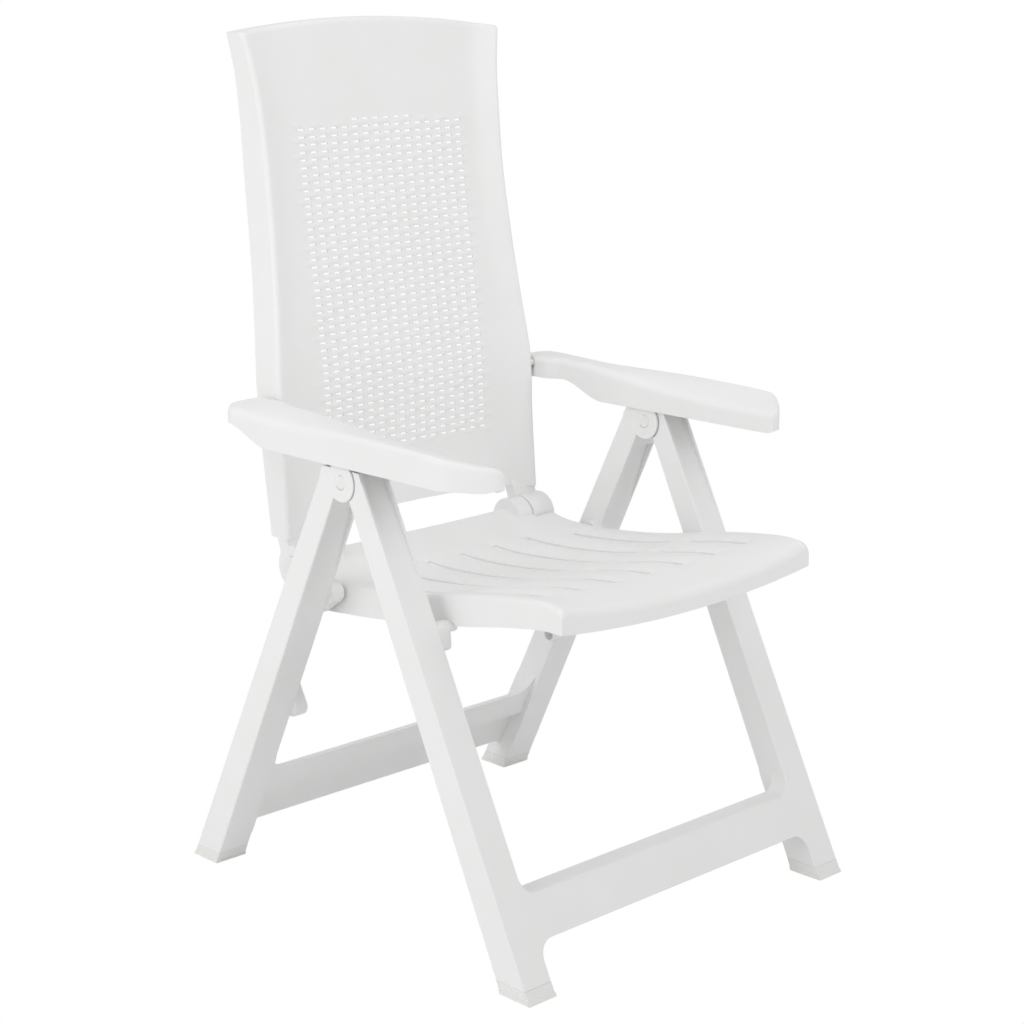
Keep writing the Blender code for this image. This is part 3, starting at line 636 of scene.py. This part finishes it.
# %% Seat sizes
SEAT_HALF = 0.2222
SEAT_FRONT = -0.3070
SEAT_REAR = 0.1855
SEAT_ROWS = (
    (-0.3070, 0.4430, 0.4620, 0.4305),
    (-0.2750, 0.4500, 0.4650, 0.4300),
    (-0.2250, 0.4515, 0.4600, 0.4225),
    (-0.1450, 0.4380, 0.4475, 0.4070),
    (-0.0750, 0.4245, 0.4325, 0.3940),
    (0.0000, 0.4155, 0.4220, 0.3845),
    (0.0750, 0.4120, 0.4165, 0.3765),
    (0.1300, 0.4160, 0.4185, 0.3740),
    (0.1855, 0.4300, 0.4330, 0.3900),
)
DISH_POWER = 2.4                # how late the dish rises toward the sides
FRONT_BOW = (0.004, -0.280, 0.027)          # depth, where it starts, and over what length
FRONT_SKIRT_DROP = 0.0125
REAR_SKIRT_LIFT = 0.0120
LANES = [k * 0.060 for k in range(-3, 4)]
SLOT_SPANS = ((-0.235, -0.140), (-0.110, 0.102))
SIDE_SLOT_END = 0.070           # the outermost slots are shorter
SLOT_HALF = 0.0042
DIP = (0.0040, 0.0100)          # depth and reach of the skin's dip toward a slot
SEAT_STEP = 0.004
SIDE_ROUND = 0.0080
FRONT_ROUND = 0.0100
REAR_ROUND = 0.0040
SEAT_WALL = 0.0034
CORNER_Y = 0.14705              # where the rear corners are cut away


def arc_steps(radius, count=5):
    """Places across a quarter round (distance along, drop) after its start."""
    angles = [math.radians(90 * (k + 1) / count) for k in range(count)]
    return [(radius * math.sin(a), radius * (1 - math.cos(a))) for a in angles]


SLOTS = [(lane, y0, y1 if abs(lane) < 0.17 else min(y1, SIDE_SLOT_END))
         for lane in LANES for y0, y1 in SLOT_SPANS]


def slot_dip(x, y):
    dip = 0.0
    for lane, y0, y1 in SLOTS:
        beyond = max(y0 - y, y - y1, 0.0)
        reach = math.hypot(max(abs(x - lane) - SEAT_STEP / 2, 0), beyond)
        dip = max(dip, math.exp(-(reach / DIP[1]) ** 2))
    return DIP[0] * dip


def seat_point(column, row):
    """A place of the seat's skin: (across, edge drop) and (along, edge drop)."""
    x, side_drop = column
    y, front_drop = row
    depth, start, length = FRONT_BOW
    bow = depth * (1 - (x / SEAT_HALF) ** 2) * min(1, max(0, (start - y) / length))
    middle = along(SEAT_ROWS, 1, y)
    side = along(SEAT_ROWS, 2, y)
    z = middle + (side - middle) * abs(x / SEAT_HALF) ** DISH_POWER
    return Vector((x, y - bow, z - side_drop - front_drop - slot_dip(x, y)))


# %% Seat shell
half_columns = [(SEAT_STEP * k, 0.0) for k in range(0, 54)]
half_columns += [(SEAT_HALF - SIDE_ROUND + a, d) for a, d in arc_steps(SIDE_ROUND)]
columns = [(-x, d) for x, d in reversed(half_columns[1:])] + half_columns
rows = [(SEAT_FRONT + FRONT_ROUND - a, d) for a, d in reversed(arc_steps(FRONT_ROUND))]
rows += [(SEAT_FRONT + FRONT_ROUND + SEAT_STEP * k, 0.0) for k in range(0, 119)]
rows += [(SEAT_REAR - REAR_ROUND + a, d) for a, d in arc_steps(REAR_ROUND, 3)]
seat_mesh = grid_of(columns, rows, seat_point)


def seat_skirt(co):
    """The lower edge of the seat's flanges."""
    base = along(SEAT_ROWS, 3, co.y)
    across = 1 - (co.x / SEAT_HALF) ** 2
    if co.y < SEAT_FRONT + 0.001:
        base -= FRONT_SKIRT_DROP * across
    if co.y > SEAT_REAR - 0.001:
        base += REAR_SKIRT_LIFT * across
    return Vector((co.x, co.y, base))


flange(seat_mesh, seat_skirt)
holes = []
for f in seat_mesh.faces:
    c = f.calc_center_median()
    if abs(f.normal.z) > 0.5 and any(abs(c.x - lane) < SEAT_STEP and y0 < c.y < y1
                                     for lane, y0, y1 in SLOTS):
        holes.append(f)
bmesh.ops.delete(seat_mesh, geom=holes, context="FACES")
for v in seat_mesh.verts:
    if v.is_boundary and len(v.link_faces) in (1, 3):
        lane = min(LANES, key=lambda value: abs(value - v.co.x))
        if 0.003 < abs(v.co.x - lane) < 0.005 and -0.25 < v.co.y < 0.12:
            v.co.x = lane + math.copysign(SLOT_HALF, v.co.x - lane)
straighten(seat_mesh)
seat = as_piece("seat_moulding", seat_mesh)
face_toward(seat, (0, 0, 1))
walled(seat, SEAT_WALL)
# room for the back's hinge lugs
corner = profile([(CORNER_Y, 0.36, 0), (CORNER_Y, 0.45, 0), (0.24, 0.45, 0), (0.24, 0.36, 0)],
                 0.1841, 0.24)
cut(seat, mirror_pair(corner), tolerant=True)
relief = profile([(-0.1275, 0.40, 0), (-0.1275, 0.4080, 0.005), (-0.1085, 0.4080, 0.005),
                  (-0.0850, 0.385, 0), (-0.1150, 0.385, 0)], 0.2100, 0.2400)
cut(seat, mirror_pair(relief), "FAST")
finish(seat, "seat_body", POLYPROPYLENE, ["seat"])

# %% Seat ears and pivot pads
ears = gather(
    drum(BACK_HINGE, 0.0280, 0.1580, 0.1838, 0.0015),
    profile([(0.120, 0.395, 0), (0.180, 0.389, 0), (0.180, 0.420, 0), (0.120, 0.4145, 0)],
            0.1582, 0.1836),
    profile([(0.0695, 0.384, 0.006), (0.1015, 0.384, 0.006), (0.1015, 0.4130, 0),
             (0.0695, 0.4130, 0)], 0.2060, 0.2200))
finish(as_piece("seat_ears", mirror_pair(ears)), "seat_body", POLYPROPYLENE)

# %% [markdown]
# ## Back
#
# The back is a tall shell: plain bolsters run down both sides, and between them lies a panel
# with a basket-weave relief and rows of small slits, which let air through.

# %% Back sizes
BACK_BOTTOM = 0.4520
BACK_TOP = 1.0900
BACK_ROWS = (
    (0.452, 0.2257, 0.1850, 0.0350),
    (0.560, 0.2252, 0.1925, 0.0430),
    (0.640, 0.2256, 0.1965, 0.0470),
    (0.720, 0.2180, 0.2072, 0.0478),
    (0.800, 0.2113, 0.2185, 0.0482),
    (0.900, 0.2068, 0.2325, 0.0490),
    (0.980, 0.2078, 0.2417, 0.0450),
    (1.040, 0.2125, 0.2505, 0.0385),
    (1.090, 0.2217, 0.2585, 0.0330),
)
PANEL_HALF = 0.1450
PANEL_BOTTOM = 0.5407
PANEL_COLUMNS = 16
PANEL_ROWS = 45
PITCH_X = 2 * PANEL_HALF / PANEL_COLUMNS
PITCH_Z = 0.0097
PANEL_TOP = PANEL_BOTTOM + PANEL_ROWS * PITCH_Z
STRAND = 0.0078                 # height of one row's strand; a row of slits fills the rest
SLIT_SHARE = (0.20, 0.80)       # where a slit starts and ends in its column
TOP_ROW_HALF = 0.0545           # the uppermost row of slits is short
WEAVE_DEPTH = 0.0014
BOLSTER = 0.0130
BOLSTER_W = 0.0440
TOP_ARCH = 0.0160
BOTTOM_ARCH = 0.0140
ARCH_POWER = 1.6
BACK_WALL = 0.0022
BACK_ROUND = 0.0080
TOP_ROUND = 0.0060


def back_height(u, z):
    """Rows arch upward above the panel, and a little below it."""
    over = max(0.0, (z - PANEL_TOP) / (BACK_TOP - PANEL_TOP))
    under = max(0.0, (PANEL_BOTTOM - z) / (PANEL_BOTTOM - BACK_BOTTOM))
    return z + (1 - u * u) * (TOP_ARCH * over ** ARCH_POWER + BOTTOM_ARCH * under ** ARCH_POWER)


def weave(k, strand_place):
    """Height of the basket weave at column k of the panel and strand place (row, share)."""
    row, share = strand_place
    strand = math.sin(math.pi * share)
    return WEAVE_DEPTH * strand * (0.40 + 0.60 * math.cos(math.pi * (k + row)))


def back_point(column, row):
    """A place of the back's skin; the bolsters fall steeply at the rim and level out inward."""
    kind, value, drop = column
    z, strand_place, top_drop = row
    half = along(BACK_ROWS, 1, z)
    if kind == "panel":
        x = value * PITCH_X
    else:
        x = math.copysign(PANEL_HALF + (half - BACK_ROUND - PANEL_HALF) * min(abs(value), 1),
                          value) + math.copysign(max(abs(value) - 1, 0), value)
    inward = min(1.0, (half - abs(x)) / BOLSTER_W)
    y = along(BACK_ROWS, 2, z) + BOLSTER * (inward ** 1.5) * (2.2 - 1.2 * inward)
    if kind == "panel" and strand_place is not None:
        y -= weave(value, strand_place)
    return Vector((x, y + drop + top_drop, back_height(x / half, z)))


# %% Back columns and rows
panel_columns = [("panel", k + share, 0.0)
                 for k in range(-PANEL_COLUMNS // 2, PANEL_COLUMNS // 2)
                 for share in (0.0, 0.20, 0.40, 0.60, 0.80)]
panel_columns.append(("panel", PANEL_COLUMNS / 2, 0.0))
side_columns = [("side", s / 9, 0.0) for s in range(1, 10)]
side_columns += [("side", 1 + a, d) for a, d in arc_steps(BACK_ROUND)]
columns = [("side", -value, d) for _, value, d in reversed(side_columns)]
columns += panel_columns + side_columns

rows = [(BACK_BOTTOM + (PANEL_BOTTOM - BACK_BOTTOM) * k / 17, None, 0.0) for k in range(0, 17)]
for j in range(PANEL_ROWS):
    base = PANEL_BOTTOM + j * PITCH_Z
    rows += [(base + share * STRAND, (j, share), 0.0) for share in (0.0, 0.35, 0.65, 1.0)]
rows += [(PANEL_TOP + (BACK_TOP - TOP_ROUND - PANEL_TOP) * k / 17, None, 0.0)
         for k in range(0, 18)]
rows += [(BACK_TOP - TOP_ROUND + a, None, d) for a, d in arc_steps(TOP_ROUND, 4)]
back_mesh = grid_of(columns, rows, back_point)
print("back grid:", len(columns), "by", len(rows))


# %% Slits, side flanges and wall
def back_flange(co):
    """The rear edge of the back's flanges."""
    z = min(co.z, BACK_TOP)
    depth = along(BACK_ROWS, 3, z)
    if z < BACK_BOTTOM + 0.02 and abs(co.x) < 0.21:
        depth = 0.012 + BOLSTER
    return Vector((co.x, along(BACK_ROWS, 2, z) + depth, co.z))


flange(back_mesh, back_flange)
slits = []
for f in back_mesh.faces:
    c = f.calc_center_median()
    if abs(c.x) > PANEL_HALF or abs(f.normal.y) < 0.5:
        continue
    share = (c.x / PITCH_X) % 1
    level = (c.z - PANEL_BOTTOM) / PITCH_Z
    if not 0 < level < PANEL_ROWS or (level > PANEL_ROWS - 1 and abs(c.x) > TOP_ROW_HALF):
        continue
    if SLIT_SHARE[0] < share < SLIT_SHARE[1] and level % 1 > STRAND / PITCH_Z:
        slits.append(f)
bmesh.ops.delete(back_mesh, geom=slits, context="FACES")
straighten(back_mesh)
back = as_piece("backrest_moulding", back_mesh)
face_toward(back, (0, -1, 0))
walled(back, BACK_WALL)
print("slits:", len(slits))
finish(back, "back_body", POLYPROPYLENE, ["backrest"], 50)

# %% Hinge lugs of the back
hinge_y, hinge_z = BACK_HINGE
neck = profile([(hinge_y + 0.0020, hinge_z, 0), (hinge_y + 0.0260, hinge_z + 0.002, 0),
                (hinge_y + 0.0255, hinge_z + 0.020, 0), (hinge_y + 0.0330, 0.4560, 0),
                (hinge_y + 0.0345, 0.4700, 0), (hinge_y + 0.0200, 0.4700, 0),
                (hinge_y + 0.0100, 0.4500, 0)], 0.1847, 0.2243, 0.0015)
lugs = gather(drum(BACK_HINGE, 0.0290, 0.1845, 0.2245, 0.0015), neck)
finish(as_piece("backrest_lugs", mirror_pair(lugs)), "back_body", POLYPROPYLENE)

# %% [markdown]
# ## Armrests
#
# An armrest is an upturned channel. Its broad top leans inward in front and turns level
# toward the back, where the channel narrows to a neck round the pivot. Under the top run two
# toothed racks, which drop on the catch pins and set the angle of the back.

# %% Armrest sizes
# from front to rear: y, height of the top at its inner side, on its middle, at its outer side
ARM_ROWS = (
    (-0.2295, 0.6150, 0.6195, 0.6215),
    (-0.2050, 0.6140, 0.6210, 0.6265),
    (-0.1600, 0.6140, 0.6230, 0.6310),
    (-0.1000, 0.6160, 0.6255, 0.6325),
    (-0.0300, 0.6205, 0.6295, 0.6320),
    (0.0400, 0.6280, 0.6325, 0.6295),
    (0.1000, 0.6340, 0.6340, 0.6275),
    (0.1600, 0.6365, 0.6355, 0.6295),
    (0.2300, 0.6360, 0.6360, 0.6330),
)
ARM_X = (0.2380, 0.2980)
ARM_FRONT = ARM_ROWS[0][0]
ARM_REAR = ARM_ROWS[-1][0]
ARM_STEPS = 74
ARM_ROUND = 0.0085
ARM_CORNER = (0.0520, 0.0500)   # slanted outer corner in front, across and along
CORNER_POWER = 1.25             # 1 is a straight slant, 2 a quarter ellipse
ARM_TAIL = (0.0300, 0.0300)     # round outer corner at the rear
ARM_WALL = 0.0030
ARM_BASE = (0.5865, 0.0045)     # lower edge at the inner side, and what the outer one has more
NOSE_LIFT = 0.0035
NECK_RISE = 0.0220
NECK_INWARD = 0.0098


def ease(t):
    """A soft step from 0 to 1."""
    t = min(max(t, 0.0), 1.0)
    return t * t * (3 - 2 * t)


def arm_sides(y):
    """The inner and the outer side of the armrest, seen from above."""
    inward = NECK_INWARD * ease((y - 0.150) / 0.028)
    ahead = min(max((ARM_FRONT + ARM_CORNER[1] - y) / ARM_CORNER[1], 0.0), 1.0)
    behind = min(max((y - ARM_REAR + ARM_TAIL[1]) / ARM_TAIL[1], 0.0), 1.0)
    cut_back = ARM_CORNER[0] * (1 - (1 - ahead ** CORNER_POWER) ** (1 / CORNER_POWER))
    cut_back += ARM_TAIL[0] * (1 - math.sqrt(1 - behind * behind))
    return ARM_X[0] - inward, ARM_X[1] - cut_back


def arm_point(column, row):
    """A place of the armrest's skin: (share of the flat top, off it, drop) and (along, drop)."""
    share, off, side_drop = column
    y, end_drop = row
    x_in, x_out = arm_sides(y)
    narrow = min(1.0, 0.45 * (x_out - x_in) / ARM_ROUND)
    flat = x_out - x_in - 2 * ARM_ROUND * narrow
    x = x_in + ARM_ROUND * narrow + share * flat + off * narrow
    u = max(0.0, (x - ARM_X[0]) / (ARM_X[1] - ARM_X[0]))
    low, mid, high = (along(ARM_ROWS, k, y) for k in (1, 2, 3))
    top = low * (1 - u) * (1 - 2 * u) + mid * 4 * u * (1 - u) + high * u * (2 * u - 1)
    return Vector((x, y, top - math.hypot(side_drop * narrow, end_drop)))


def arm_skirt(co):
    """The lower edge of the armrest's sides."""
    outward = (co.x - ARM_X[0]) / (ARM_X[1] - ARM_X[0])
    base = ARM_BASE[0] + ARM_BASE[1] * outward
    base += NECK_RISE * ease((co.y - 0.075 - 0.060 * max(outward, 0.0)) / 0.075)
    base += NOSE_LIFT * ease((ARM_FRONT + 0.010 - co.y) / 0.010)
    return Vector((co.x, co.y, min(base, co.z - 0.0005)))


# %% Armrest shell
arm_columns = [(0.0, -off, drop) for off, drop in reversed(arc_steps(ARM_ROUND))]
arm_columns += [(k / 8, 0.0, 0.0) for k in range(9)]
arm_columns += [(1.0, off, drop) for off, drop in arc_steps(ARM_ROUND)]
arm_rows = [(ARM_FRONT + ARM_ROUND - off, drop) for off, drop in reversed(arc_steps(ARM_ROUND))]
arm_rows += [(ARM_FRONT + ARM_ROUND + (ARM_REAR - ARM_FRONT - 2 * ARM_ROUND) * k / ARM_STEPS, 0.0)
             for k in range(ARM_STEPS + 1)]
arm_rows += [(ARM_REAR - ARM_ROUND + off, drop) for off, drop in arc_steps(ARM_ROUND)]


def armrest_shell():
    """The left armrest without its racks, bored for its pivot."""
    bm = grid_of(arm_columns, arm_rows, arm_point)
    flange(bm, arm_skirt)
    straighten(bm)
    item = as_piece("armrest_left_moulding", bm)
    face_toward(item, (0, 0, 1))
    walled(item, ARM_WALL)
    cut(item, drum(ARM_PIVOT, 0.0088, 0.2200, 0.2420), "FAST")
    print("armrest shell:", len(item.data.polygons), "faces")
    return item


# %% Toothed racks
NOTCHES = 5
NOTCH_PITCH = 0.102 / (NOTCHES - 1)
NOTCH_RADIUS = 0.0062
RACK_FOOT = 0.6111


def rack(x_from, x_to, top):
    """One rib with five round notches; its upper edge ends inside the armrest's skin."""
    bm = profile([(0.012, RACK_FOOT, 0.002), (0.012, top, 0), (-0.116, top - 0.0045, 0),
                  (-0.116, RACK_FOOT, 0.002)], x_from, x_to)
    rib = as_piece("rack", bm)
    notches = [drum((-k * NOTCH_PITCH, RACK_FOOT), NOTCH_RADIUS, x_from - 0.01, x_to + 0.01,
                    steps=24) for k in range(NOTCHES)]
    cut(rib, gather(*notches))
    made = bmesh.new()
    made.from_mesh(rib.data)
    bpy.data.objects.remove(rib)
    return made


left_arm = armrest_shell()
shell = bmesh.new()
shell.from_mesh(left_arm.data)
whole = gather(shell, rack(0.2500, 0.2560, 0.6235), rack(0.2785, 0.2845, 0.6285))
whole.to_mesh(left_arm.data)
finish(left_arm, "arm_left", POLYPROPYLENE, ["armrest_left"])
finish(as_piece("armrest_right_moulding", mirrored(whole)), "arm_right", POLYPROPYLENE,
       ["armrest_right"])
whole.free()

# %% Pins and sleeves of the armrests
# kind, radius and reach across the chair
ARM_PIVOT_PARTS = (("pin", 0.0044, (0.2205, 0.2600)), ("bush", 0.0086, (0.2300, 0.2640)))
for side, way in (("left", 1), ("right", -1)):
    for kind, radius, reach in ARM_PIVOT_PARTS:
        bm = drum(ARM_PIVOT, radius, *reach, 0.0008)
        bmesh.ops.scale(bm, verts=bm.verts, vec=(way, 1, 1))
        straighten(bm)
        item = as_piece("armrest_" + kind + "_" + side + "_moulding", bm)
        finish(item, "arm_" + kind + "_" + side, POLYAMIDE,
               ["armrest_" + kind + "_" + side])

# %% [markdown]
# ## Pins of the legs, the seat and the back
#
# The frame's own pins have the right shape there, so they only get their finish. So do the
# bars that the armrests' racks drop on.

# %% Finish of the pins
FRAME_PINS = ("leg_pivot_pin", "catch_pin", "seat_pivot_pin", "back_hinge_pin")
for name, item in frame["nodes"].items():
    if name.startswith(FRAME_PINS):
        item.data.materials.clear()
        item.data.materials.append(POLYAMIDE)
